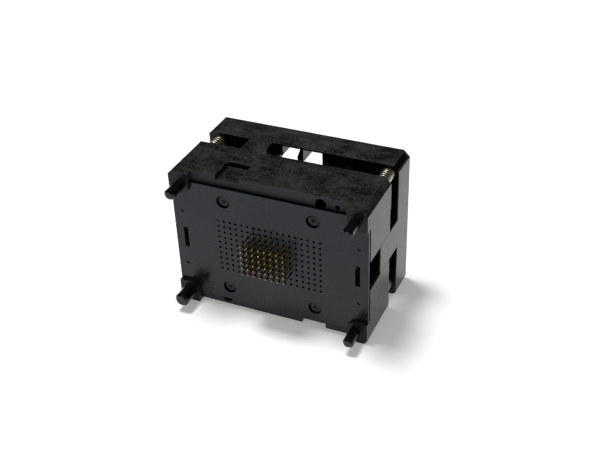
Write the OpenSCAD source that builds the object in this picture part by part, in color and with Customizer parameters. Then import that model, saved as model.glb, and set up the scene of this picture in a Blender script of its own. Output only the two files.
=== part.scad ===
// Open-top ZIF socket for a small ball-grid package.
// Upright as mounted: +Z away from the board, X along the long side, Y along the short side.
// The origin is the centre of the contact array on the board's surface, under the corner pads.

/* [Contact array] */
// Spacing of the contacts in both directions
pitch = 0.8; // [0.75:0.01:0.85]
// Contacts along X
contact_cols = 8; // [4:2:8]
// Contacts along Y
contact_rows = 6; // [2:2:6]
// Positions along X in the locator plate
grid_cols = 18; // [12:2:18]
// Positions along Y in the locator plate
grid_rows = 10; // [8:2:10]
// Diameter of a contact's solder tail
tail_d = 0.2; // [0.15:0.01:0.22]
// Length of the tails below the board's surface
tail_drop = 1.78; // [1.2:0.01:2]
// Diameter of the locating holes
locator_hole_d = 0.34; // [0.3:0.01:0.45]

/* [Body] */
// Length of base and cover
body_l = 26; // [25.6:0.1:28]
// Width of base and cover
body_w = 19.5; // [19.3:0.1:21]
// Height of the base's rim above the board
base_top = 8; // [7.8:0.05:8.4]
// Chamfer on the upright corner at +X -Y, which shows the way round
corner_chamfer = 0.8; // [0.6:0.05:0.9]
// Chamfer on the other three upright corners
small_chamfer = 0.4; // [0.2:0.05:0.5]
// Gap between the board and the locator plate
standoff = 0.5; // [0.3:0.05:0.7]
// Width of the rail along each long side
rail_w = 1.02; // [0.95:0.01:1.1]
// Width of the groove between the front rail and the locator plate
groove_w = 0.38; // [0.25:0.01:0.45]
// How much wider the rear rail is
rear_rail_extra = 0.19; // [0:0.01:0.2]

/* [Locator plate] */
// Thickness of the locator plate
plate_t = 0.6; // [0.4:0.05:0.7]
// Length of a corner pad along X
pad_l = 2.65; // [2.4:0.05:2.7]
// Length of a corner pad along Y
pad_w = 2.95; // [2.8:0.05:3.1]
// Radius of a pad's inner corner
pad_r = 1.15; // [0.8:0.05:1.2]
// Distance of the staking posts from the short ends
post_inset_x = 7.07; // [6.8:0.01:7.3]
// Distance of the staking posts from the long sides
post_inset_y = 3.3; // [3.15:0.01:3.45]
// Diameter of a staking post
post_d = 1.34; // [1.2:0.02:1.6]
// Gap round a staking post in its hole
post_gap = 0.21; // [0.05:0.01:0.25]

/* [Board pegs] */
// Distance of the pegs from the short ends
peg_inset_x = 1.5; // [1.4:0.05:1.6]
// Distance of the pegs from the long sides
peg_inset_y = 1.75; // [1.65:0.05:1.85]
// Diameter of the three thin pegs
peg_d = 1.4; // [1.2:0.05:1.6]
// Diameter of the thick peg that fixes the orientation
key_peg_d = 1.85; // [1.7:0.05:2]
// Length of the pegs below the board's surface
peg_l = 2.7; // [2:0.05:2.8]

/* [Cover] */
// Height of the cover frame
cover_h = 4.1; // [3.8:0.05:4.3]
// Gap between base and cover when nothing is pressed
cover_gap = 2.8; // [2.75:0.05:3]
// How far the cover is pressed down
travel = 2.6; // [2.3:0.05:2.6]
// Thickness of the cover's long walls
cover_wall = 1.55; // [1.4:0.05:1.6]
// Length of the cover's top window
window_l = 18.6; // [18.4:0.1:18.8]
// Width of the cover's top window between its side bays
window_w = 12.6; // [12:0.1:13]
// Width of the legs on the short ends
end_leg_w = 4; // [3.6:0.1:4.2]
// Thickness of the legs on the short ends
end_leg_t = 0.9; // [0.8:0.05:0.95]
// Width of the legs on the long sides
side_leg_w = 3.1; // [2.8:0.1:3.3]
// Distance of the long-side legs from the centre
side_leg_x = 5.45; // [5.3:0.05:5.6]
// Thickness of the legs on the long sides
side_leg_t = 0.6; // [0.5:0.02:0.75]
// Length of the legs below the cover frame
leg_drop = 6.25; // [6:0.05:6.4]
// Running gap between a leg and its slot
leg_gap = 0.07; // [0.05:0.01:0.1]

/* [Package] */
// Length of the package that the socket holds
package_l = 8; // [7.6:0.1:8.2]
// Width of the package
package_w = 6; // [5.6:0.1:6.2]
// Thickness of the package without its balls
package_t = 0.9; // [0.8:0.05:1]
// Gap between package and nest on each side
package_gap = 0.06; // [0.03:0.01:0.1]

/* [Springs] */
// Outside diameter of the cover springs
cover_spring_d = 1.65; // [1.5:0.05:1.95]
// Wire diameter of the cover springs
cover_spring_wire = 0.19; // [0.16:0.01:0.21]
// Turns of a cover spring
cover_spring_turns = 20; // [18:1:22]
// Distance of the cover springs from the short ends
cover_spring_inset_x = 1.45; // [1.4:0.01:1.6]
// Distance of the cover springs from the long sides
cover_spring_inset_y = 1.36; // [1.3:0.01:1.5]

/* [Latches] */
// Width of a latch
latch_w = 3; // [2.6:0.1:3.2]
// Distance of the latch pins from the centre
latch_x = 6.4; // [6.35:0.01:6.5]
// Height of the latch pins above the board
latch_z = 6; // [5.95:0.01:6.1]
// Diameter of a latch pin
latch_pin_d = 1; // [0.8:0.05:1.1]
// Reach of a latch's tail from its pin
tail_reach = 3.6; // [3.5:0.05:3.65]

/* [Hidden] */
$fn = 48;

// Over-reach of a cut past the face it opens, and the gap between two fixed pieces
cut = 0.5;
fixed_gap = 0.03;

// Places measured from the ends and sides
peg_x = body_l / 2 - peg_inset_x;
peg_y = body_w / 2 - peg_inset_y;
post_x = body_l / 2 - post_inset_x;
post_y = body_w / 2 - post_inset_y;
cover_spring_x = body_l / 2 - cover_spring_inset_x;
cover_spring_y = body_w / 2 - cover_spring_inset_y;

// Heights above the board
plate_top = standoff + plate_t;
flange_top = plate_top + 1.4;
deck_z = 5.25;
cover_low = base_top + cover_gap;
cover_top = cover_low + cover_h;
leg_low = cover_low - leg_drop;
rear_rail_w = rail_w + rear_rail_extra;
spring_floor = 5;
spring_roof = cover_low + 1.8;

// Sliding plate
slider_gap = 0.05;
slider_t = 1;
slider_stroke = 0.2;
slider_low = deck_z + slider_gap;
slider_top = slider_low + slider_t;
slider_extra_l = 2;
slider_extra_w = 2.2;
slider_l = package_l + slider_extra_l;
slider_w = package_w + slider_extra_w;
arm_l = 2;
arm_x = latch_x - 0.9;
arm_end = body_w / 2 - 1.05;
arm_root = latch_w / 2 + 1.4;

// Cam ribs of the cover, which lean along X and so push the sliding plate
cam_l = 1;
cam_w = 0.9;
cam_gap = 0.05;
cam_x = arm_x + arm_l / 2;
cam_y = arm_end - 0.35 - cam_w / 2;
cam_low = deck_z - 0.3;
cam_lean = -slider_stroke / travel;

// Package nest
guide_float = 0.4;
guide_low = slider_top + guide_float + 0.1;
guide_floor_t = 0.8;
guide_seat = guide_low + guide_floor_t;
guide_wall_h = 1.8;
guide_top = guide_seat + guide_wall_h;
guide_wall = 1.05;
guide_side_wall = 1.2;
guide_l = package_l + 2 * package_gap + 2 * guide_wall;
guide_w = package_w + 2 * package_gap + 2 * guide_side_wall;
guide_lug = 1.5;
guide_lug_in = 0.15;
guide_lead = 0.7;
guide_ball_hole_d = 0.5;
guide_latch_gap = 1.2;
guide_spring_seat = 0.2;
guide_spring_x = guide_l / 2 - guide_lug / 2;
guide_spring_y = guide_w / 2 + guide_lug / 2 - guide_lug_in;
guide_spring_d = 1;
guide_spring_wire = 0.14;

// Well in the base that holds the sliding plate and the nest
well_l = 2 * (arm_x + arm_l + 0.3);
well_w = 2 * (guide_spring_y + guide_lug / 2 + 0.15);

// Contact block
block_l = pitch * grid_cols + 0.4;
block_w = pitch * grid_rows + 0.8;
block_core_l = pitch * contact_cols + 2;
block_core_w = pitch * contact_rows + 1.6;
block_core_low = flange_top;
contact_t = 0.26;
contact_arm_t = 0.1;
contact_arm_gap = 0.08;
contact_span = 2 * contact_arm_t + contact_arm_gap;
contact_tip = guide_low + guide_floor_t / 2;
contact_clear = 0.03;

// Latches
latch_gap = 0.12;
latch_open = 41.8;
latch_hub_r = 0.95;
latch_bore_gap = 0.03;
pin_seat_gap = 0.015;
ear_w = 1;
tail_tip_r = 0.45;
tail_tip_z = 0.75;
pusher_gap = 0.05;
pusher_in = 0.45;
pusher_out = 0.55;
latch_seat = -0.2;
nose_z = guide_seat + package_t + 0.1;
nose_reach = latch_x - package_l / 2 + 0.75;
latch_pocket_floor = 3.2;
latch_pocket_end = latch_x + tail_reach + tail_tip_r + 0.3;
latch_spring_d = 1.2;
latch_spring_wire = 0.18;
latch_spring_x = latch_x + tail_reach - 0.75;
latch_spring_floor = 2.4;

// Channels in the cover's long walls
channel_l = 2.5;
channel_shift = 0.4;
channel_rib = 0.4;
channel_skin = 0.25;
channel_roof = 0.6;

// Side bays of the cover's window, and the base's guide walls that stand in them
bay_end = 4.7;
guide_post_gap = 0.1;
guide_post_set = 0.4;
guide_post_t = 0.5;
guide_post_h = 3.6;

// Steps on the base's rim and marks on its posts
rim_step = 0.17;
rim_step_d = 1.05;
rim_step_l = 10.6;
side_inset = 0.05;
side_inset_z = 6.35;
post_recess = 0.22;
post_mark_d = 0.5;
post_mark_t = 0.15;

// Reliefs in the rails
notch_x = 6.75;
notch_r = 0.72;
notch_h = 1.6;
small_notch_x = 8.85;
small_notch_r = 0.3;
small_notch_h = 1.2;

// Hooks on the end legs
hook_reach = 0.83;
hook_h = 0.8;
hook_w = 2.7;
hook_wall = 0.1;
hook_x = body_l / 2 - end_leg_t - hook_reach;
ledge_z = leg_low + hook_h + hook_wall;
sill_t = 0.12;
sill_top = leg_low - travel - 0.1;

// Slot width and depth in the base for the cover's legs
end_slot_d = end_leg_t + hook_wall;
side_slot_d = side_leg_t + leg_gap;

slider_spring_d = 0.9;
slider_spring_wire = 0.14;
slider_spring_l = 2.2;
slider_spring_y = cam_y;

// ---- Shared shapes ----

// Footprint with chamfered corners: c at +X -Y, s at the other three
module footprint(l, w, c, s) {
    x = l / 2;
    y = w / 2;
    polygon([[-x + s, -y], [x - c, -y], [x, -y + c], [x, y - s],
             [x - s, y], [-x + s, y], [-x, y - s], [-x, -y + s]]);
}

module block(x0, x1, y0, y1, z0, z1)
    translate([x0, y0, z0]) cube([x1 - x0, y1 - y0, z1 - z0]);

module centred_block(l, w, z0, z1)
    block(-l / 2, l / 2, -w / 2, w / 2, z0, z1);

// Repeats its children half a turn round the centre
module both_ways() {
    children();
    rotate([0, 0, 180]) children();
}

module at_corners(x, y)
    for (sx = [-1, 1], sy = [-1, 1]) translate([sx * x, sy * y, 0]) children();

// Corner areas beyond x0 and y0, with the inner corner rounded by r
module corner_areas(x0, y0, r)
    for (sx = [0, 1], sy = [0, 1]) mirror([sx, 0, 0]) mirror([0, sy, 0]) {
        translate([x0 + r, y0 + r]) circle(r);
        translate([x0 + r, y0]) square([body_l, body_w]);
        translate([x0, y0 + r]) square([body_l, body_w]);
    }

// Positions of a grid of n by m places
function place(i, n) = (i - (n - 1) / 2) * pitch;

// Coil spring along +Z from the origin, one swept wire with flattened end turns
module coil(d, wire, turns, length, steps = 9, sides = 5) {
    r = (d - wire) / 2;
    n = turns * steps;
    rise = length - wire;
    dead = 1 / turns;
    function height(u) = wire / 2 + rise * max(0, min(1, (u - dead / 2) / (1 - dead)));
    points = [for (i = [0:n], k = [0:sides - 1])
        let (a = 360 * i / steps, b = 360 * k / sides,
             q = r + wire / 2 * cos(b))
        [q * cos(a), q * sin(a), height(i / n) + wire / 2 * sin(b)]];
    sides_list = [for (i = [0:n - 1], k = [0:sides - 1])
        let (k2 = (k + 1) % sides)
        [i * sides + k, i * sides + k2, (i + 1) * sides + k2, (i + 1) * sides + k]];
    ends = [[for (k = [sides - 1:-1:0]) k],
            [for (k = [0:sides - 1]) n * sides + k]];
    polyhedron(points, concat(sides_list, ends));
}

// ---- Base ----

module peg(d) {
    edge = 0.25;
    rotate_extrude()
        polygon([[0, cut], [d / 2, cut], [d / 2, -peg_l + edge],
                 [d / 2 - edge, -peg_l], [0, -peg_l]]);
}

module base() {
    color([0.13, 0.13, 0.14]) difference() {
        union() {
            translate([0, 0, plate_top])
                linear_extrude(base_top - plate_top) footprint(body_l, body_w, corner_chamfer, small_chamfer);
            translate([0, 0, standoff])
                linear_extrude(plate_t + fixed_gap) intersection() {
                    footprint(body_l, body_w, corner_chamfer, small_chamfer);
                    translate([-body_l / 2, -body_w / 2]) square([body_l, rail_w]);
                    translate([-body_l / 2, body_w / 2 - rear_rail_w]) square([body_l, rear_rail_w]);
                }
            linear_extrude(plate_top + fixed_gap) intersection() {
                footprint(body_l, body_w, corner_chamfer, small_chamfer);
                corner_areas(body_l / 2 - pad_l, body_w / 2 - pad_w, pad_r);
            }
            at_corners(post_x, post_y)
                translate([0, 0, standoff + post_recess]) cylinder(d = post_d, h = plate_t - post_recess + fixed_gap);
            both_ways() guide_post();
            for (s = [-1, 1]) {
                translate([peg_x, s * peg_y, 0]) peg(peg_d);
                translate([-peg_x, s * peg_y, 0]) peg(s > 0 ? key_peg_d : peg_d);
            }
        }
        base_well();
        block_recess();
        both_ways() {
            latch_pocket();
            leg_slots();
            arm_channel();
            rail_notches();
            rim_steps();
        }
        at_corners(post_x, post_y) post_mark();
        return_grooves();
        at_corners(cover_spring_x, cover_spring_y)
            translate([0, 0, spring_floor])
                cylinder(d = cover_spring_d + 0.2, h = base_top - spring_floor + cut);
    }
}

// Open well for the sliding plate and the nest, with the four latch ears left standing
module base_well()
    difference() {
        centred_block(well_l, well_w, deck_z, base_top + cut);
        at_corners(latch_x, latch_w / 2 + latch_gap + ear_w / 2) difference() {
            union() {
                block(-latch_hub_r, latch_hub_r, -ear_w / 2, ear_w / 2, deck_z - cut, latch_z);
                translate([0, ear_w / 2, latch_z]) rotate([90, 0, 0]) cylinder(r = latch_hub_r, h = ear_w);
            }
            translate([0, ear_w, latch_z]) rotate([90, 0, 0])
                cylinder(d = latch_pin_d + 2 * pin_seat_gap, h = 2 * ear_w);
        }
    }

// Stepped opening for the contact block, from below
module block_recess() {
    centred_block(block_l + 2 * fixed_gap, block_w + 2 * fixed_gap, plate_top - cut, flange_top + fixed_gap);
    centred_block(block_core_l + 2 * fixed_gap, block_core_w + 2 * fixed_gap, plate_top, base_top);
}

// Upright wall on a long side's rim that guides the cover's side bay
module guide_post()
    block(-bay_end + guide_post_gap, -channel_l - guide_post_set, -body_w / 2 + cover_wall + guide_post_gap,
          -body_w / 2 + cover_wall + guide_post_gap + guide_post_t, base_top - cut, base_top + guide_post_h);

// Low step on a short end's rim, and a slight inset along the top of a long side
module rim_steps() {
    block(body_l / 2 - rim_step_d, body_l / 2 + cut, -rim_step_l / 2, rim_step_l / 2, base_top - rim_step, base_top + cut);
    block(-body_l / 2 - cut, body_l / 2 + cut, -body_w / 2 - cut, -body_w / 2 + side_inset, side_inset_z, base_top + cut);
}

// Ring-shaped mark in the end of a staking post
module post_mark()
    translate([0, 0, standoff + post_recess - cut]) difference() {
        cylinder(d = post_mark_d, h = cut + post_mark_t, $fn = 24);
        cylinder(d = post_mark_d / 2, h = 2 * cut, $fn = 24);
    }

module latch_pocket() {
    inner = latch_x - latch_hub_r - 0.2;
    block(inner, latch_pocket_end, -latch_w / 2 - latch_gap, latch_w / 2 + latch_gap,
          latch_pocket_floor, base_top + cut);
    translate([latch_spring_x, 0, latch_spring_floor])
        cylinder(d = latch_spring_d + 0.2, h = base_top - latch_spring_floor);
}

// Slots for the cover's legs: one on a short end with the hook's way under its ledge, one on a long side
module leg_slots() {
    x1 = body_l / 2;
    half = end_leg_w / 2 + leg_gap;
    way = hook_w / 2 + hook_wall;
    block(x1 - end_slot_d + fixed_gap, x1 + cut, -half, half, plate_top - cut, base_top + cut);
    block(hook_x - hook_wall, x1 - end_slot_d - sill_t, -way, way, plate_top - cut, ledge_z);
    block(x1 - end_slot_d - sill_t - cut, x1, -way, way, sill_top, ledge_z);
    block(-side_leg_x - side_leg_w / 2 - leg_gap, -side_leg_x + side_leg_w / 2 + leg_gap,
          -body_w / 2 - cut, -body_w / 2 + side_slot_d, -cut, base_top + cut);
}

// Channel for one arm of the sliding plate, with the cam rib's pit and the return spring's groove
module arm_channel() {
    run = slider_stroke + 0.1;
    block(arm_x - run, well_l / 2, -arm_end - 0.1, 0, deck_z, base_top + cut);
    block(arm_x - run, arm_x + arm_l + 0.1, -arm_end - 0.1, -cam_y + cam_w / 2 + 0.2, 2, base_top + cut);
}

// Grooves for the two return springs, on the -X side of each arm
module return_grooves() {
    half = slider_spring_d / 2 + 0.08;
    block(arm_x - slider_spring_l, arm_x, -slider_spring_y - half, -slider_spring_y + half,
          deck_z, base_top + cut);
    block(-arm_x - arm_l - slider_spring_l, -arm_x, slider_spring_y - half, slider_spring_y + half,
          deck_z, base_top + cut);
}

// Half-round reliefs in the rail's inner edge
module rail_notches() {
    edge = body_w / 2 - rail_w;
    translate([notch_x, -edge, -cut]) cylinder(r = notch_r, h = standoff + notch_h + cut);
    translate([small_notch_x, -edge, -cut]) cylinder(r = small_notch_r, h = standoff + small_notch_h + cut);
}

// ---- Locator plate ----

module locator_plate() {
    slot_l = hook_w + 0.25;
    slot_w = 0.62;
    dimple_d = 0.5;
    dimple_x = body_l / 2 - 1.25;
    dimple_y = 4;
    dimple_h = 0.12;
    gate_x = post_x + 2.87;
    gate_y = post_y - 0.75;
    gate_d = 1.6;
    gate_h = 0.06;
    lip_t = 0.15;
    lip_l = 0.5;
    color([0.17, 0.18, 0.19]) difference() {
        translate([0, 0, standoff]) linear_extrude(plate_t - fixed_gap) difference() {
            square([body_l, body_w - 2 * rail_w - 2 * groove_w], center = true);
            corner_areas(body_l / 2 - pad_l - 0.05, body_w / 2 - pad_w - 0.05, pad_r + 0.05);
            for (s = [-1, 1]) {
                translate([s * (hook_x + slot_w / 2), 0]) square([slot_w, slot_l], center = true);
            }
        }
        at_corners(post_x, post_y)
            translate([0, 0, standoff - cut]) cylinder(d = post_d + 2 * post_gap, h = plate_t + 2 * cut);
        at_corners(dimple_x, dimple_y) translate([0, 0, standoff - cut]) cylinder(d = dimple_d, h = cut + dimple_h, $fn = 24);
        translate([-gate_x, gate_y, standoff - cut]) cylinder(d = gate_d, h = cut + gate_h);
        for (s = [-1, 1])
            translate([s * (body_l / 2 - lip_l / 2 + cut / 2), 0, standoff + lip_t + plate_t / 2])
                cube([lip_l + cut, body_w, plate_t], center = true);
        for (i = [0:grid_cols - 1], j = [0:grid_rows - 1])
            translate([place(i, grid_cols), place(j, grid_rows), standoff - cut])
                cylinder(d = locator_hole_d, h = plate_t + 2 * cut, $fn = 16);
    }
}

// ---- Contacts and their block ----

module contact_block() {
    color([0.12, 0.12, 0.12]) difference() {
        union() {
            centred_block(block_l, block_w, plate_top, flange_top);
            centred_block(block_core_l, block_core_w, plate_top, deck_z - fixed_gap);
        }
        for (i = [0:contact_cols - 1], j = [0:contact_rows - 1])
            translate([place(i, contact_cols), place(j, contact_rows), 0]) {
                translate([0, 0, plate_top - cut])
                    cylinder(d = tail_d + 0.06, h = 1 + cut, $fn = 16);
                centred_block(contact_span + 2 * contact_clear, contact_t + 2 * contact_clear,
                              plate_top + 0.9, deck_z + cut);
            }
    }
}

// Round tail, flat body and two parallel arms that grip one solder ball
module contact() {
    foot = plate_top + 0.95;
    fork = deck_z - 0.6;
    edge = 0.05;
    rotate_extrude($fn = 16)
        polygon([[0, foot + 0.1], [tail_d / 2, foot + 0.1], [tail_d / 2, -tail_drop + edge],
                 [tail_d / 2 - edge, -tail_drop], [0, -tail_drop]]);
    centred_block(contact_span, contact_t, foot, fork);
    for (s = [-1, 1])
        translate([s * (contact_span - contact_arm_t) / 2, 0, 0])
            centred_block(contact_arm_t, contact_t, fork, contact_tip);
}

module contacts()
    color([0.78, 0.63, 0.3])
        for (i = [0:contact_cols - 1], j = [0:contact_rows - 1])
            translate([place(i, contact_cols), place(j, contact_rows), 0]) contact();

// ---- Sliding plate ----

// X of the cam rib's middle plane at height z when the cover is up
function cam_shift(z) = (z - (slider_low + slider_top) / 2) * cam_lean;

// Upright prism between two heights, leaning along X as the cam ribs do
module leaning_prism(l, w, z0, z1) {
    x0 = cam_shift(z0);
    x1 = cam_shift(z1);
    translate([0, w / 2, 0]) rotate([90, 0, 0]) linear_extrude(w)
        polygon([[x0 - l / 2, z0], [x0 + l / 2, z0], [x1 + l / 2, z1], [x1 - l / 2, z1]]);
}

// The two cam places: right front and left rear
module at_cams() {
    translate([cam_x, -cam_y, 0]) children();
    translate([-cam_x, cam_y, 0]) children();
}

module slider() {
    window_l = contact_span + slider_stroke + 2 * contact_clear;
    color([0.16, 0.15, 0.14]) difference() {
        union() {
            centred_block(slider_l, slider_w, slider_low, slider_top);
            both_ways() {
                block(slider_l / 2 - cut, arm_x + arm_l, -slider_w / 2, -arm_root, slider_low, slider_top);
                block(arm_x, arm_x + arm_l, -arm_end, -arm_root, slider_low, slider_top);
            }
        }
        for (i = [0:contact_cols - 1], j = [0:contact_rows - 1])
            translate([place(i, contact_cols) + slider_stroke / 2, place(j, contact_rows), 0])
                centred_block(window_l, contact_t + 0.1, slider_low - cut, slider_top + cut);
        at_cams() leaning_prism(cam_l + 2 * cam_gap, cam_w + 2 * cam_gap, slider_low - cut, slider_top + cut);
    }
}

// ---- Package nest ----

// Triangular bar that chamfers an edge: a right-angled prism along X of length l, legs of size c
module chamfer_bar(l, c)
    translate([-l / 2, 0, 0]) rotate([90, 0, 90]) linear_extrude(l)
        polygon([[-c, 0], [c, 0], [0, -c]]);

module package_guide() {
    in_l = package_l + 2 * package_gap;
    in_w = package_w + 2 * package_gap;
    color([0.11, 0.11, 0.12]) difference() {
        union() {
            centred_block(guide_l, guide_w, guide_low, guide_top);
            at_corners(guide_spring_x, guide_spring_y)
                centred_block(guide_lug, guide_lug, guide_low, guide_seat);
        }
        centred_block(in_l, in_w, guide_seat, guide_top + cut);
        for (s = [-1, 1]) {
            translate([0, s * in_w / 2, guide_top]) chamfer_bar(in_l + 2 * guide_lead, guide_lead);
            translate([s * in_l / 2, 0, guide_top]) rotate([0, 0, 90]) chamfer_bar(in_w + 2 * guide_lead, guide_lead);
        }
        both_ways()
            block(package_l / 2 - guide_latch_gap, guide_l, -latch_w / 2 - latch_gap, latch_w / 2 + latch_gap,
                  guide_seat, guide_top + cut);
        for (i = [0:contact_cols - 1], j = [0:contact_rows - 1])
            translate([place(i, contact_cols), place(j, contact_rows), guide_low - cut])
                cylinder(d = guide_ball_hole_d, h = guide_floor_t + 2 * cut, $fn = 16);
        at_corners(guide_spring_x, guide_spring_y)
            translate([0, 0, guide_low - cut]) cylinder(d = guide_spring_d + 0.1, h = cut + guide_spring_seat);
    }
}

module guide_spring(sx, sy)
    color([0.75, 0.73, 0.68]) translate([sx * guide_spring_x, sy * guide_spring_y, deck_z])
        coil(guide_spring_d, guide_spring_wire, 5, guide_low + guide_spring_seat - deck_z, 8);

// ---- Cover ----

module cover() {
    inner_y = body_w / 2 - cover_wall;
    color([0.14, 0.14, 0.15]) difference() {
        union() {
            translate([0, 0, cover_low]) linear_extrude(cover_h) footprint(body_l, body_w, corner_chamfer, small_chamfer);
            both_ways() {
                end_leg();
                side_leg();
                pusher();
            }
            at_cams() leaning_prism(cam_l, cam_w, cam_low, cover_low + cut);
        }
        centred_block(window_l, window_w, cover_low - cut, cover_top + cut);
        both_ways()
            block(-bay_end, channel_l + channel_shift, -inner_y, 0, cover_low - cut, cover_top + cut);
        window_lead_in();
        both_ways() wall_channels();
        at_corners(cover_spring_x, cover_spring_y)
            translate([0, 0, cover_low - cut])
                cylinder(d = cover_spring_d + 0.2, h = spring_roof - cover_low + cut);
    }
}

// Sloped edge round the top of the window
module window_lead_in() {
    lead = 0.5;
    for (s = [-1, 1]) {
        translate([0, s * window_w / 2, cover_top]) chamfer_bar(window_l + 2 * lead, lead);
        translate([s * window_l / 2, 0, cover_top]) rotate([0, 0, 90]) chamfer_bar(window_w + 2 * lead, lead);
    }
}

// Two channels in a long wall, either side of a middle rib, that leave a thin outer skin
module wall_channels() {
    y0 = -body_w / 2 + channel_skin;
    y1 = -body_w / 2 + cover_wall;
    translate([0, 0, cover_low - cut]) linear_extrude(cover_h - channel_roof + cut) {
        rib = channel_shift - 0.1;
        polygon([[-channel_l, y0], [rib - channel_rib, y0], [-0.57, y1], [-0.57, y1 + cut], [-channel_l, y1 + cut]]);
        translate([rib, y0]) square([channel_l + channel_shift - rib, y1 + cut - y0]);
    }
}

// Leg on a short end, with the hook that stops the cover under the base's ledge
module end_leg() {
    x1 = body_l / 2;
    half = hook_w / 2;
    block(x1 - end_leg_t, x1, -end_leg_w / 2, end_leg_w / 2, leg_low, cover_low + cut);
    translate([0, half, 0]) rotate([90, 0, 0]) linear_extrude(hook_w)
        polygon([[x1 - end_leg_t, leg_low], [hook_x, leg_low + hook_h - 0.35],
                 [hook_x, leg_low + hook_h], [x1 - end_leg_t + 0.1, leg_low + hook_h]]);
}

module side_leg()
    block(-side_leg_x - side_leg_w / 2, -side_leg_x + side_leg_w / 2,
          -body_w / 2, -body_w / 2 + side_leg_t, leg_low, cover_low + cut);

// Rib that presses a latch's tail
module pusher() {
    x = latch_x + tail_reach;
    block(x - pusher_in, x + pusher_out, -latch_w / 2 + 0.2, latch_w / 2 - 0.2,
          latch_z + tail_tip_z + tail_tip_r + pusher_gap, cover_low + cut);
}

module cover_spring(sx, sy)
    color([0.75, 0.71, 0.62]) translate([sx * cover_spring_x, sy * cover_spring_y, spring_floor])
        coil(cover_spring_d, cover_spring_wire, cover_spring_turns, spring_roof - spring_floor);

// ---- Latches ----

// Outline of the right latch's arm, from its pin at the origin to the nose on the -X side
module nose_outline() {
    z = nose_z - latch_z;
    inside = 0.8 * latch_hub_r;
    polygon([[-inside, 0.2], [-latch_hub_r - 0.15, z - 1], [-nose_reach + 0.5, z + 0.05],
             [-nose_reach, z], [-nose_reach - 0.05, z + 0.4], [-nose_reach + 0.35, z + 0.8],
             [-latch_hub_r + 0.2, z + 0.9], [-0.1, z + 0.3], [inside, 0.3]]);
}

// Outline of its tail, which the cover presses down
module tail_outline() {
    inside = 0.8 * latch_hub_r;
    shoulder = 0.77 * tail_tip_r;
    polygon([[0.3, inside], [tail_reach - shoulder, tail_tip_z + 0.64 * tail_tip_r],
             [tail_reach, tail_tip_z - tail_tip_r], [0.4, -inside]]);
    translate([tail_reach, tail_tip_z]) circle(tail_tip_r);
}

module latch()
    color([0.3, 0.31, 0.33]) translate([latch_x, latch_w / 2, latch_z]) rotate([90, 0, 0])
        difference() {
            union() {
                cylinder(r = latch_hub_r, h = latch_w);
                linear_extrude(latch_w) nose_outline();
                linear_extrude(latch_w) tail_outline();
            }
            translate([0, 0, -cut]) cylinder(r = latch_pin_d / 2 + latch_bore_gap, h = latch_w + 2 * cut);
        }

module latch_pin()
    color([0.7, 0.7, 0.72]) translate([latch_x, 0, latch_z]) rotate([90, 0, 0])
        cylinder(d = latch_pin_d, h = latch_w + 2 * latch_gap + 2 * ear_w, center = true);

module latch_spring() {
    seat = latch_z + latch_seat;
    color([0.75, 0.73, 0.68]) translate([latch_spring_x, 0, latch_spring_floor])
        coil(latch_spring_d, latch_spring_wire, 7, seat - latch_spring_floor, 8);
}

// Coil spring between one arm of the sliding plate and the base, lying along X
module slider_spring(x, y)
    color([0.75, 0.73, 0.68]) translate([x, y, (slider_low + slider_top) / 2]) rotate([0, -90, 0])
        coil(slider_spring_d, slider_spring_wire, 6, slider_spring_l, 8);

base();
locator_plate();
contact_block();
contacts();
slider();
slider_spring(arm_x, -slider_spring_y);  // slider_spring_front
slider_spring(-arm_x - arm_l, slider_spring_y);  // slider_spring_rear
package_guide();
guide_spring(-1, -1);  // guide_spring_front_left
guide_spring(1, -1);  // guide_spring_front_right
guide_spring(-1, 1);  // guide_spring_rear_left
guide_spring(1, 1);  // guide_spring_rear_right
cover();
cover_spring(-1, -1);  // cover_spring_front_left
cover_spring(1, -1);  // cover_spring_front_right
cover_spring(-1, 1);  // cover_spring_rear_left
cover_spring(1, 1);  // cover_spring_rear_right
rotate([0, 0, 180]) latch();  // latch_left
latch();  // latch_right
rotate([0, 0, 180]) latch_pin();  // latch_pin_left
latch_pin();  // latch_pin_right
rotate([0, 0, 180]) latch_spring();  // latch_spring_left
latch_spring();  // latch_spring_right
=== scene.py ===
"""Open-top zero-insertion-force socket: looks, springs, contacts, floor, light and camera
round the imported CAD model."""
import math

import bmesh
import bpy
from mathutils import Matrix, Vector


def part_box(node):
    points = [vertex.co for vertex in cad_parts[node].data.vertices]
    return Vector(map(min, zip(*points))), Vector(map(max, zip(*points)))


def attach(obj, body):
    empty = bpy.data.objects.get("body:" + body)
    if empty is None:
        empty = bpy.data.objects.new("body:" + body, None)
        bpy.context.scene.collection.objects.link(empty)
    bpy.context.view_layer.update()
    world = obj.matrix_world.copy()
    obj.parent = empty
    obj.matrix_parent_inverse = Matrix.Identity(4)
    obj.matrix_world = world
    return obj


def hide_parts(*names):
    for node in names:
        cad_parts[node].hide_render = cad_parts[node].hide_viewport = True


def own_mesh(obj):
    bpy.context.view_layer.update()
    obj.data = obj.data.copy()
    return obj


MM = 0.001

# ---- Named values ----

# The socket lies on its rear long side, so the floor is the plane of that side
FLOOR_Y = 9.75 * MM
FLOOR_GAP = 0.02 * MM
FLOOR_SIZE = 0.9

CAMERA = {
    "azimuth": 32.006, "elevation": -48.836, "roll": 37.652,
    "distance": 126.438 * MM, "aim": (1.230 * MM, -0.726 * MM, 7.108 * MM),
    "lens": 59.75, "sensor": 36,
}

# Lamps: direction from the socket towards the lamp, distance, size, and brightness on a
# white surface that faces it
LAMPS = {
    "key": {"toward": (-0.27, -1.0, 0.06), "distance": 0.42, "size": 0.13, "bright": 0.92},
    "side": {"toward": (0.90, -0.55, -0.10), "distance": 0.45, "size": 0.30, "bright": 0.05},
    "front": {"toward": (-0.10, -0.45, -1.0), "distance": 0.50, "size": 0.35, "bright": 0.08},
}
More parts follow.
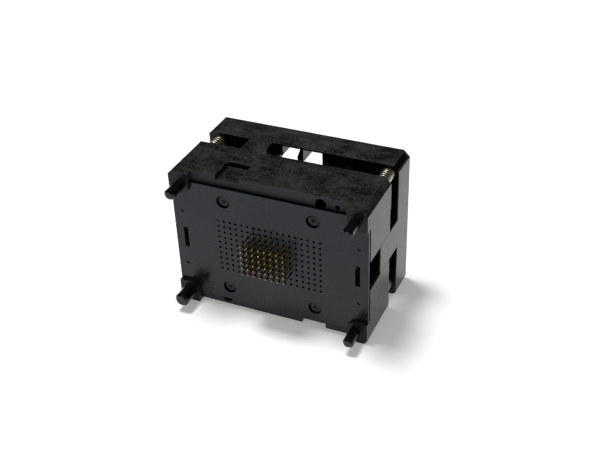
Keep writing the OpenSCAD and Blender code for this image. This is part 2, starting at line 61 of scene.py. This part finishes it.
# Brightness of the room on diffuse surfaces and in reflections, and what the floor adds to both
AMBIENT = 0.20
MIRRORED_ROOM = 0.020
FLOOR_GLOW = 0.24
MIRRORED_GLOW = 0.44

# Springs in millimetres. "keep" is the share of the length that is left at the joint's far limit.
# Cover springs stand on the four corners, from the pocket in the base to the pocket in the cover
COVER_SPRING = {
    "x": 11.55, "y": 8.39, "low": 5.0, "high": 12.6, "outer": 1.65, "wire": 0.19, "turns": 18,
    "keep": 5.0 / 7.6,
}
GUIDE_SPRING = {
    "low": 5.25, "high": 7.0, "outer": 1.0, "wire": 0.14, "turns": 5, "keep": 1.35 / 1.75,
}
LATCH_SPRING = {
    "x": 9.25, "low": 2.4, "high": 5.8, "outer": 1.2, "wire": 0.18, "turns": 7, "keep": 0.34,
}
SLIDER_SPRING = {"length": 2.2, "outer": 0.9, "wire": 0.14, "turns": 6, "keep": 1.99 / 2.2}
COIL_STEPS = 28
WIRE_SIDES = 8

# Contacts: tail diameter, width over the two arms, arm width, thickness, and heights of the
# foot and of the fork
CONTACT = {"tail": 0.20, "span": 0.28, "arm": 0.10, "flat": 0.26, "foot": 2.15, "fork": 4.65}
TAIL_SIDES = 14
CONTACT_BEVEL = 0.012
PITCH = 0.8
COLUMNS, ROWS = 8, 6

# End of the leaning wall between the cover's side channels
RIB_END = {"size": (0.80, 0.60, 3.0), "middle": (-0.10, -8.02, 12.30)}

# Polymer colours that several finishes share
BLACK = (0.0008, 0.0008, 0.0009)
# Pale edge colour: partly rubbing, partly a painted edge highlight
RUBBED_AND_HIGHLIGHT = (0.42, 0.42, 0.41)

# Where the finishes change, in millimetres. A well is everything nearer to the middle than
# "long" along X and "wide" along Y, from "low" to "high", and the wells get painted shade. The
# limits of a post's mark are squared distances from its axis, and the last three rows are heights.
POST = {"x": 5.93, "y": 6.45, "mark_inside": 0.045, "mark_outside": 0.075, "top": 1.0}
BASE_SHADED_WELL = {"long": 12.50, "wide": 8.85, "low": 1.12, "high": 7.85}
COVER_SHADED_WELL = {"long": 12.85, "wide": 9.66, "low": 3.5, "high": 14.4}
# Heights of the rail faces that are painted paler, as painted light
LIT_RAIL_FACE = (1.06, 1.09, 1.11, 1.12)
# Height above which the plate's walls get painted shade
PLATE_SHADED_WALL = (0.53, 0.58)
CONTACT_TIP = (-1.77, -1.70)

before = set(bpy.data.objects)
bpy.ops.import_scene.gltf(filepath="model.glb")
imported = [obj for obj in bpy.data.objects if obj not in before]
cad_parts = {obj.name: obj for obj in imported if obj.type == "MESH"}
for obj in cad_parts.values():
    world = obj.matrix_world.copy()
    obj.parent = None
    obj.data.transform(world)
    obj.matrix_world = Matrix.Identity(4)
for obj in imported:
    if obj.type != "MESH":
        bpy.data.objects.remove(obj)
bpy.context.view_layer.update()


# ---- Shader maths ----

class Value:
    """One output of a material's nodes, with arithmetic that adds Math nodes."""

    def __init__(self, finish, socket):
        self.finish, self.socket = finish, socket

    def maths(self, operation, *others):
        return self.finish.node("ShaderNodeMath", {"operation": operation},
                                dict(enumerate((self, *others))))

    def __add__(self, other):
        return self.maths("ADD", other)

    def __sub__(self, other):
        return self.maths("SUBTRACT", other)

    def __mul__(self, other):
        return self.maths("MULTIPLY", other)

    def __radd__(self, other):
        return self + other

    def __rmul__(self, other):
        return self * other

    def __rsub__(self, other):
        return self.finish.node("ShaderNodeMath", {"operation": "SUBTRACT"}, {0: other, 1: self})

    def clamped(self):
        return self.finish.node("ShaderNodeMath", {"operation": "ADD", "use_clamp": True},
                                {0: self, 1: 0.0})

    def step(self, low, high):
        """0 below low, 1 above high, smooth between."""
        return self.finish.node("ShaderNodeMapRange", {"interpolation_type": "SMOOTHSTEP"},
                                {"Value": self, "From Min": low, "From Max": high})


class Finish:
    """A material under construction: one method adds any node."""

    def __init__(self, name):
        self.material = bpy.data.materials.new(name)
        self.material.use_nodes = True
        self.tree = self.material.node_tree
        self.tree.nodes.clear()

    def node(self, kind, settings=None, values=None, out=0):
        made = self.tree.nodes.new(kind)
        for key, value in (settings or {}).items():
            setattr(made, key, value)
        for key, value in (values or {}).items():
            socket = made.inputs[key]
            if isinstance(value, Value):
                self.tree.links.new(value.socket, socket)
            elif isinstance(value, (tuple, list)) and socket.type == "RGBA":
                socket.default_value = (*value[:3], 1)
            else:
                socket.default_value = value
        return Value(self, made.outputs[out])

    def millimetres(self, stretch=(1, 1, 1)):
        """The piece's own coordinates in millimetres."""
        place = self.node("ShaderNodeTexCoord", out="Object")
        return self.node("ShaderNodeMapping", {},
                         {"Vector": place, "Scale": tuple(s / MM for s in stretch)})

    def coordinate(self, place, axis):
        return self.node("ShaderNodeSeparateXYZ", {}, {"Vector": place}, out=axis)

    def distance(self, place, axis):
        """Distance from the middle plane of the socket along one axis."""
        along = self.coordinate(place, axis)
        return self.node("ShaderNodeMath", {"operation": "ABSOLUTE"}, {0: along})

    def well(self, place, long, wide, low, high):
        """1 inside the outer faces between two heights, 0 on the outside: the place that gets
        painted shade.
        """
        height = self.coordinate(place, "Z")
        inside = ((1 - self.distance(place, "X").step(long - 0.05, long))
                  * (1 - self.distance(place, "Y").step(wide - 0.05, wide)))
        return inside * height.step(low, low + 0.1) * (1 - height.step(high - 0.1, high))

    def noise(self, place, scale, detail, rough, distortion=0.0):
        return self.node("ShaderNodeTexNoise", {}, {
            "Vector": place, "Scale": scale, "Detail": detail,
            "Roughness": rough, "Distortion": distortion})

    def mix(self, share, a, b):
        """Colour a where share is 0, b where it is 1."""
        made = self.node("ShaderNodeMix", {"data_type": "RGBA"}, {}, out=2)
        owner = made.socket.node
        for index, value in ((0, share), (6, a), (7, b)):
            if isinstance(value, Value):
                self.tree.links.new(value.socket, owner.inputs[index])
            elif index:
                owner.inputs[index].default_value = (*value[:3], 1)
            else:
                owner.inputs[index].default_value = value
        return made

    def done(self, values, relief=None, depth=0.0, normal=None):
        """Ends in a Principled shader, with a bump from relief where it is given."""
        values = dict(values)
        if relief is not None:
            bump = {"Height": relief, "Distance": depth, "Strength": 1.0}
            if normal is not None:
                bump["Normal"] = normal
            values["Normal"] = self.node("ShaderNodeBump", {}, bump)
        elif normal is not None:
            values["Normal"] = normal
        shader = self.node("ShaderNodeBsdfPrincipled", {}, values)
        self.node_output(shader)
        return self.material

    def node_output(self, shader):
        end = self.tree.nodes.new("ShaderNodeOutputMaterial")
        self.tree.links.new(shader.socket, end.inputs["Surface"])

    def rounded_edge(self, radius):
        """A normal that rounds the edges, and how much of an edge each point is."""
        soft = self.node("ShaderNodeBevel", {"samples": 6}, {"Radius": radius})
        plain = self.node("ShaderNodeNewGeometry", out="Normal")
        alike = self.node("ShaderNodeVectorMath", {"operation": "DOT_PRODUCT"},
                          {0: soft, 1: plain}, out="Value")
        return soft, (1 - alike)


def moulded(name, dark, light, rough, specular, mottle=1.0, grain=1.0, edge=0.05,
            worn_and_highlight=(0.10, 0.10, 0.105), flow=(0.22, 1.5, 1.5), fleck=(0.09, 0.09, 0.087), zones=None):
    """Glass-filled polymer: clouded flow streaks, moulded grain with fibre flecks, and pale edges
    that are partly rubbing and partly a painted edge highlight. zones changes the finish by place
    on the piece."""
    f = Finish(name)
    mm = f.millimetres()
    clouds = f.noise(mm, 0.28, 4.0, 0.6)
    patches = f.noise(mm, 1.0, 5.0, 0.70, 0.4)
    streaks = f.noise(f.millimetres(flow), 0.9, 6.0, 0.68, 0.3)
    grit = f.noise(mm, 3.6, 5.0, 0.75)
    flecks = f.noise(mm, 5.5, 2.0, 0.8)
    fine = f.noise(mm, 26.0, 3.0, 0.65)
    share = (clouds.step(0.34, 0.64) * 0.38 + patches.step(0.40, 0.68) * 0.30
             + streaks.step(0.42, 0.70) * 0.34) * mottle
    share = share * 1.1 + (grit.step(0.38, 0.62) - 0.42) * (0.70 * grain)
    body = f.mix(share.clamped(), dark, light)
    body = f.mix(flecks.step(0.60, 0.74) * (0.45 * grain), body, fleck)
    body = f.mix(flecks.step(0.75, 0.80) * (0.8 * grain), body, worn_and_highlight)
    soft, edges = f.rounded_edge(edge * MM)
    # Pale edges: partly rubbing, partly a painted highlight along the edges.
    rub_and_highlight = (edges * 6.0).clamped() * (0.08 + 0.92 * grit.step(0.44, 0.60))
    body = f.mix(rub_and_highlight * 0.8, body, worn_and_highlight)
    roughness = (rough + (patches - 0.5) * 0.16 + (grit - 0.5) * (0.30 * grain)
                 + fine.step(0.4, 0.7) * (0.05 * grain))
    coat = 0.0
    if zones:
        body, roughness, coat = zones(f, mm, body, roughness, dark)
    relief = grit + flecks * 0.5 + fine * 0.25 + patches * 0.5
    return f.done({"Base Color": body, "Roughness": roughness.clamped(), "Metallic": 0.0,
                   "Specular IOR Level": specular, "Coat Weight": coat, "Coat Roughness": 0.20},
                  relief, 0.009 * grain * MM, soft)


def base_zones(f, mm, body, roughness, dark):
    """Dark pads, rail faces painted paler for the light they catch, polished pegs below the board's
    surface, marks in the ends of the staking posts, and painted shade in the well."""
    height = f.coordinate(mm, "Z")
    peg = 1 - height.step(-0.10, 0.0)
    shaded_well = f.well(mm, **BASE_SHADED_WELL)
    across = f.distance(mm, "X") - POST["x"]
    along = f.distance(mm, "Y") - POST["y"]
    squared = across * across + along * along
    ring = ((1 - squared.step(POST["mark_inside"], POST["mark_outside"]))
            * (1 - height.step(POST["top"] - 0.1, POST["top"])))
    pad = 1 - height.step(0.01, 0.03)
    lit_rail = height.step(*LIT_RAIL_FACE[:2]) * (1 - height.step(*LIT_RAIL_FACE[2:]))
    body = f.mix(pad * 0.80, body, (0.0050, 0.0056, 0.0060))
    # Painted light: the rail's faces get a paler colour that stands in for the light they catch.
    body = f.mix(lit_rail * 0.85, body, (0.0440, 0.0450, 0.0465))
    body = f.mix(peg * 0.90, body, (0.0024, 0.0027, 0.0030))
    # Painted shade: the base's well is darkened to the black polymer colour, together with the real
    # marks in the post ends.
    body = f.mix((ring * 0.9 + shaded_well * 0.95).clamped(), body, dark)
    roughness = roughness * (1 - peg * 0.30) * (1 - shaded_well * 0.4) + lit_rail * 0.35
    return body, roughness, peg * 0.24


def cover_zones(f, mm, body, roughness, dark):
    """Painted shade on the surfaces inside the cover frame."""
    shaded_well = f.well(mm, **COVER_SHADED_WELL)
    return f.mix(shaded_well * 0.95, body, dark), roughness * (1 - shaded_well * 0.4), 0.0


def plate_zones(f, mm, body, roughness, dark):
    """Painted shade: the walls of the plate's slots, holes and sides are coloured black."""
    shaded_wall = f.coordinate(mm, "Z").step(*PLATE_SHADED_WALL)
    # Painted shade on the walls, in the black polymer colour.
    return f.mix(shaded_wall, body, BLACK), roughness * (1 - shaded_wall * 0.5), 0.0


def metal(name, dark, light, rough, streak, scale, depth, radius=0.0):
    """Drawn metal: slight colour change, fine draw marks and, where a radius is given, softened
    edges."""
    f = Finish(name)
    marks = f.noise(f.millimetres(streak), scale, 4.0, 0.6)
    body = f.mix(marks.step(0.3, 0.7), dark, light)
    roughness = rough + (marks - 0.5) * 0.16
    soft = None
    if radius:
        soft, edges = f.rounded_edge(radius * MM)
        roughness = roughness - edges * 0.2
    return f.done({"Base Color": body, "Roughness": roughness.clamped(), "Metallic": 1.0},
                  marks, depth * MM, soft)


def contact_metal():
    """Gold-plated pins: shafts with draw marks and stains along them, and tips a little darker and
    rougher than the shafts.
    """
    f = Finish("contact_gold")
    mm = f.millimetres()
    marks = f.noise(f.millimetres((5, 5, 0.5)), 5.0, 4.0, 0.6)
    stain = f.noise(mm, 0.9, 3.0, 0.6)
    tip = 1 - f.coordinate(mm, "Z").step(*CONTACT_TIP)
    shaft = f.mix(marks.step(0.35, 0.7), (0.38, 0.26, 0.09), (0.62, 0.45, 0.17))
    shaft = f.mix(stain.step(0.5, 0.75) * 0.4, shaft, (0.24, 0.17, 0.07))
    body = f.mix(tip, shaft, (0.35, 0.25, 0.10))
    roughness = (0.28 + (marks - 0.5) * 0.2 + tip * 0.14).clamped()
    return f.done({"Base Color": body, "Roughness": roughness, "Metallic": 1.0}, marks, 0.001 * MM)


def cover_spring_metal():
    """Bright wire outside, and painted shade on the coil's inner side where it shows between the
    turns.
    """
    f = Finish("cover_spring_wire")
    mm = f.millimetres()
    marks = f.noise(mm, 2.0, 4.0, 0.6)
    across = f.distance(mm, "X") - COVER_SPRING["x"]
    along = f.distance(mm, "Y") - COVER_SPRING["y"]
    middle = (COVER_SPRING["outer"] - COVER_SPRING["wire"]) / 2
    outside = (across * across + along * along).step(middle ** 2, (middle + 0.05) ** 2)
    body = f.mix(marks.step(0.3, 0.7), (0.50, 0.45, 0.35), (0.68, 0.63, 0.51))
    # Painted shade: the coil's inner side is coloured near black.
    body = f.mix(outside, (0.020, 0.018, 0.014), body)
    roughness = (0.36 + (marks - 0.5) * 0.16 + (1 - outside) * 0.3).clamped()
    return f.done({"Base Color": body, "Roughness": roughness, "Metallic": 1.0}, marks, 0.0004 * MM)


FINISHES = {
    "housing": moulded("housing_black", BLACK, (0.030, 0.030, 0.029), 0.30, 0.15,
                       edge=0.045, worn_and_highlight=RUBBED_AND_HIGHLIGHT, zones=base_zones),
    "cover": moulded("cover_black", BLACK, (0.032, 0.032, 0.031), 0.30, 0.15, mottle=1.1,
                     edge=0.045, worn_and_highlight=RUBBED_AND_HIGHLIGHT, zones=cover_zones),
    "plate": moulded("plate_slate", (0.0050, 0.0056, 0.0060), (0.0095, 0.0104, 0.0110), 0.26, 0.25,
                     mottle=0.6, grain=0.22, edge=0.02, worn_and_highlight=(0.10, 0.105, 0.11),
                     flow=(0.5, 0.5, 1), fleck=(0.025, 0.027, 0.029), zones=plate_zones),
    "block": moulded("block_black", (0.010, 0.010, 0.010), (0.022, 0.022, 0.022), 0.55, 0.3),
    "guide": moulded("guide_black", (0.004, 0.004, 0.005), (0.024, 0.024, 0.025), 0.42, 0.35,
                     mottle=0.8, grain=0.7),
    "slider": moulded("slider_brown_black", (0.010, 0.009, 0.007), (0.034, 0.030, 0.026),
                      0.46, 0.35, mottle=0.8, grain=0.7),
    "latch": moulded("latch_grey", (0.040, 0.042, 0.046), (0.075, 0.078, 0.083), 0.45, 0.4,
                     mottle=0.8, grain=0.9, edge=0.08, worn_and_highlight=(0.16, 0.165, 0.17)),
    "spring": metal("spring_wire", (0.46, 0.42, 0.33), (0.66, 0.61, 0.49), 0.34,
                    streak=(1, 1, 1), scale=2.0, depth=0.0004),
    "cover_spring": cover_spring_metal(),
    "gold": contact_metal(),
    "pin": metal("pin_steel", (0.42, 0.42, 0.43), (0.60, 0.60, 0.61), 0.28,
                 streak=(0.4, 3, 3), scale=8.0, depth=0.001, radius=0.03),
}

NODE_FINISH = {
    "base": "housing", "locator_plate": "plate", "contact_block": "block", "contacts": "gold",
    "slider": "slider", "package_guide": "guide", "cover": "cover",
    "latch_left": "latch", "latch_right": "latch",
    "latch_pin_left": "pin", "latch_pin_right": "pin",
}
for name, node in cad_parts.items():
    finish = FINISHES[NODE_FINISH.get(name, "spring")]
    node.data.materials.clear()
    node.data.materials.append(finish)


# ---- New pieces ----

def finished(bm, name, body, finish, slot, *replaced):
    """The bmesh as an object at the origin, smooth, with its material, riding on its body."""
    bmesh.ops.remove_doubles(bm, verts=bm.verts, dist=1e-7)
    bmesh.ops.recalc_face_normals(bm, faces=bm.faces)
    mesh = bpy.data.meshes.new(name)
    bm.to_mesh(mesh)
    bm.free()
    mesh.shade_smooth()
    mesh.materials.append(FINISHES[finish])
    piece = bpy.data.objects.new(name, mesh)
    bpy.context.scene.collection.objects.link(piece)
    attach(piece, body)
    if replaced:
        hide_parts(*replaced)
    return piece


def wire_coil(spec, length):
    """Round wire wound along +Z from the origin, with a flat half turn at each end."""
    radius = (spec["outer"] - spec["wire"]) / 2 * MM
    wire = spec["wire"] / 2 * MM
    rising = (spec["turns"] - 1) * COIL_STEPS
    lift = (length - spec["wire"]) * MM / rising
    flat = (0.5, 0, COIL_STEPS // 2)
    bm = bmesh.new()
    upright = Matrix.Translation((radius, 0, wire)) @ Matrix.Rotation(math.pi / 2, 4, "X")
    bmesh.ops.create_circle(bm, segments=WIRE_SIDES, radius=wire, matrix=upright)
    edges = list(bm.edges)
    first = list(edges)
    for turn, rise, count in (flat, (spec["turns"] - 1, lift, rising), flat):
        spun = bmesh.ops.spin(bm, geom=edges, cent=(0, 0, 0), axis=(0, 0, 1), dvec=(0, 0, rise),
                              angle=2 * math.pi * turn, steps=count,
                              use_merge=False, use_duplicate=False)
        edges = [g for g in spun["geom_last"] if isinstance(g, bmesh.types.BMEdge)]
    for ring in (first, edges):
        bmesh.ops.contextual_create(bm, geom=ring)
    return bm


def upright_spring(name, spec, x, y, finish="spring"):
    foot = (x * MM, y * MM, spec["low"] * MM)
    bm = wire_coil(spec, spec["high"] - spec["low"])
    bmesh.ops.translate(bm, verts=bm.verts, vec=foot)
    piece = finished(bm, name + "_coil", "base", finish, "spring_steel", name)
    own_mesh(piece)


for fore, sy in (("front", -1), ("rear", 1)):
    for hand, sx in (("left", -1), ("right", 1)):
        corner = f"{fore}_{hand}"
        upright_spring(f"cover_spring_{corner}", COVER_SPRING, sx * COVER_SPRING["x"],
                       sy * COVER_SPRING["y"], "cover_spring")
        low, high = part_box(f"guide_spring_{corner}")
        middle = (low + high) / 2 / MM
        upright_spring(f"guide_spring_{corner}", GUIDE_SPRING, middle.x, middle.y)

bm = bmesh.new()
bmesh.ops.create_cube(bm, size=1.0)
bmesh.ops.scale(bm, vec=[size * MM for size in RIB_END["size"]], verts=bm.verts)
bmesh.ops.translate(bm, vec=[place * MM for place in RIB_END["middle"]], verts=bm.verts)
finished(bm, "cover_rib_end", "cover", "cover", "housing_black").data.shade_flat()

for hand, sx in (("left", -1), ("right", 1)):
    upright_spring(f"latch_spring_{hand}", LATCH_SPRING, sx * LATCH_SPRING["x"], 0)

for fore in ("front", "rear"):
    node = f"slider_spring_{fore}"
    low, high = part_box(node)
    middle = (low + high) / 2
    bm = wire_coil(SLIDER_SPRING, SLIDER_SPRING["length"])
    lying = Matrix.Rotation(-math.pi / 2, 3, "Y")
    bmesh.ops.rotate(bm, verts=bm.verts, cent=(0, 0, 0), matrix=lying)
    bmesh.ops.translate(bm, verts=bm.verts, vec=(high.x, middle.y, middle.z))
    coil = finished(bm, f"{node}_coil", "base", "spring", "spring_steel", node)
    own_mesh(coil)


def bevelled(bm, edges, offset, segments):
    bmesh.ops.bevel(bm, geom=edges, offset=offset, offset_type="OFFSET", affect="EDGES",
                    segments=segments, profile=0.5, material=-1, clamp_overlap=True)


def contact_pins():
    """A pin for each contact: a round tail with a domed tip, a flat body and two gripping arms."""
    low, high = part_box("contacts")
    radius = CONTACT["tail"] / 2 * MM
    foot = CONTACT["foot"] * MM
    bm = bmesh.new()
    bmesh.ops.create_cone(bm, cap_ends=True, segments=TAIL_SIDES, radius1=radius, radius2=radius,
                          depth=foot - low.z,
                          matrix=Matrix.Translation((0, 0, (foot + low.z) / 2)))
    end = low.z + 0.01 * MM
    rim = [e for e in bm.edges if all(v.co.z < end for v in e.verts) and len(e.link_faces) == 2]
    bevelled(bm, rim, radius * 0.75, 4)
    side = (CONTACT["span"] - CONTACT["arm"]) / 2
    arm = (CONTACT["arm"], CONTACT["fork"] - 0.02, high.z / MM)
    stem = (CONTACT["span"], CONTACT["foot"] - 0.1, CONTACT["fork"])
    for x, (width, bottom, top) in ((0, stem), (-side, arm), (side, arm)):
        made = bmesh.ops.create_cube(bm, size=MM)
        bmesh.ops.scale(bm, verts=made["verts"], vec=(width, CONTACT["flat"], top - bottom))
        bmesh.ops.translate(bm, verts=made["verts"], vec=(x * MM, 0, (top + bottom) / 2 * MM))
        edges = list({e for v in made["verts"] for e in v.link_edges})
        bevelled(bm, edges, CONTACT_BEVEL * MM, 1)
    one = list(bm.verts) + list(bm.edges) + list(bm.faces)
    for column in range(COLUMNS):
        for row in range(ROWS):
            x, y = (column - (COLUMNS - 1) / 2) * PITCH, (row - (ROWS - 1) / 2) * PITCH
            copy = bmesh.ops.duplicate(bm, geom=one)["geom"]
            bmesh.ops.translate(bm, verts=[g for g in copy if isinstance(g, bmesh.types.BMVert)],
                                vec=(x * MM, y * MM, 0))
    first = [g for g in one if isinstance(g, bmesh.types.BMVert)]
    bmesh.ops.delete(bm, geom=first, context="VERTS")
    finished(bm, "contact_pins", "base", "gold", "contact_gold", "contacts")


contact_pins()


# ---- Floor, light and camera ----

def floor_finish():
    """White table top seen from the socket's side: it keeps the shadow, mirrors as white, and
    isn't there from behind."""
    f = Finish("table_white")
    glossy = f.node("ShaderNodeLightPath", out="Is Glossy Ray")
    shadow = f.node("ShaderNodeLightPath", out="Is Shadow Ray")
    behind = f.node("ShaderNodeNewGeometry", out="Backfacing")
    white = f.node("ShaderNodeBsdfDiffuse", {}, {"Color": (0.86, 0.86, 0.86)})
    glow = f.node("ShaderNodeEmission", {}, {"Color": (1, 1, 1), "Strength": FLOOR_GLOW})
    lit = f.node("ShaderNodeAddShader", {}, {0: white, 1: glow})
    height = f.coordinate(f.millimetres(), "Z")
    tint = f.mix(height.step(-20, 20), (0.91, 0.96, 1.05), (1.0, 1.0, 0.97))
    mirrored = f.node("ShaderNodeAddShader", {}, {
        0: f.node("ShaderNodeBsdfDiffuse", {}, {"Color": tint}),
        1: f.node("ShaderNodeEmission", {}, {"Color": tint, "Strength": MIRRORED_GLOW})})
    seen = f.node("ShaderNodeMixShader", {}, {0: glossy, 1: lit, 2: mirrored})
    clear = f.node("ShaderNodeBsdfTransparent", {}, {"Color": (1, 1, 1)})
    away = (behind + shadow).clamped()
    f.node_output(f.node("ShaderNodeMixShader", {}, {0: away, 1: seen, 2: clear}))
    return f.material


bm = bmesh.new()
floor_place = (Matrix.Translation((0, FLOOR_Y + FLOOR_GAP, 0))
               @ Matrix.Rotation(math.pi / 2, 4, "X"))
bmesh.ops.create_grid(bm, x_segments=1, y_segments=1, size=FLOOR_SIZE / 2, matrix=floor_place)
mesh = bpy.data.meshes.new("table_top")
bm.to_mesh(mesh)
bm.free()
mesh.materials.append(floor_finish())
table_top = bpy.data.objects.new("table_top", mesh)
bpy.context.scene.collection.objects.link(table_top)

azimuth, elevation, roll = (math.radians(CAMERA[k]) for k in ("azimuth", "elevation", "roll"))
aim = Vector(CAMERA["aim"])
back = Vector((math.sin(azimuth) * math.cos(elevation), -math.cos(azimuth) * math.cos(elevation),
               math.sin(elevation)))
level = Vector((0, 0, 1)).cross(back).normalized()
upward = back.cross(level)
right = level * math.cos(roll) + upward * math.sin(roll)
up = back.cross(right)
camera = bpy.data.objects.new("camera", bpy.data.cameras.new("camera"))
camera.data.sensor_width, camera.data.lens = CAMERA["sensor"], CAMERA["lens"]
camera.data.clip_start, camera.data.clip_end = 1 * MM, 10
turned = Matrix((right, up, back)).transposed().to_4x4()
camera.matrix_world = Matrix.Translation(aim + back * CAMERA["distance"]) @ turned
bpy.context.scene.collection.objects.link(camera)
bpy.context.scene.camera = camera

for name, lamp in LAMPS.items():
    light = bpy.data.lights.new(name, "AREA")
    light.shape, light.size = "DISK", lamp["size"]
    light.energy = lamp["bright"] * math.pi ** 2 * lamp["distance"] ** 2
    stand = bpy.data.objects.new(name, light)
    toward = Vector(lamp["toward"]).normalized()
    turned = toward.to_track_quat("Z", "Y").to_matrix().to_4x4()
    stand.matrix_world = Matrix.Translation(aim + toward * lamp["distance"]) @ turned
    bpy.context.scene.collection.objects.link(stand)

world = bpy.data.worlds.new("room")
world.use_nodes = True
bpy.context.scene.world = world
tree = world.node_tree
tree.nodes.clear()
path = tree.nodes.new("ShaderNodeLightPath")
seen = tree.nodes.new("ShaderNodeMapRange")
seen.inputs["To Min"].default_value, seen.inputs["To Max"].default_value = AMBIENT, 1.0
mirror = tree.nodes.new("ShaderNodeMix")
mirror.inputs[3].default_value = MIRRORED_ROOM
background = tree.nodes.new("ShaderNodeBackground")
background.inputs["Color"].default_value = (1, 1, 1, 1)
end = tree.nodes.new("ShaderNodeOutputWorld")
tree.links.new(path.outputs["Is Camera Ray"], seen.inputs["Value"])
tree.links.new(path.outputs["Is Glossy Ray"], mirror.inputs[0])
tree.links.new(seen.outputs[0], mirror.inputs[2])
tree.links.new(mirror.outputs[0], background.inputs["Strength"])
tree.links.new(background.outputs[0], end.inputs["Surface"])

bpy.context.scene.view_settings.view_transform = "Standard"
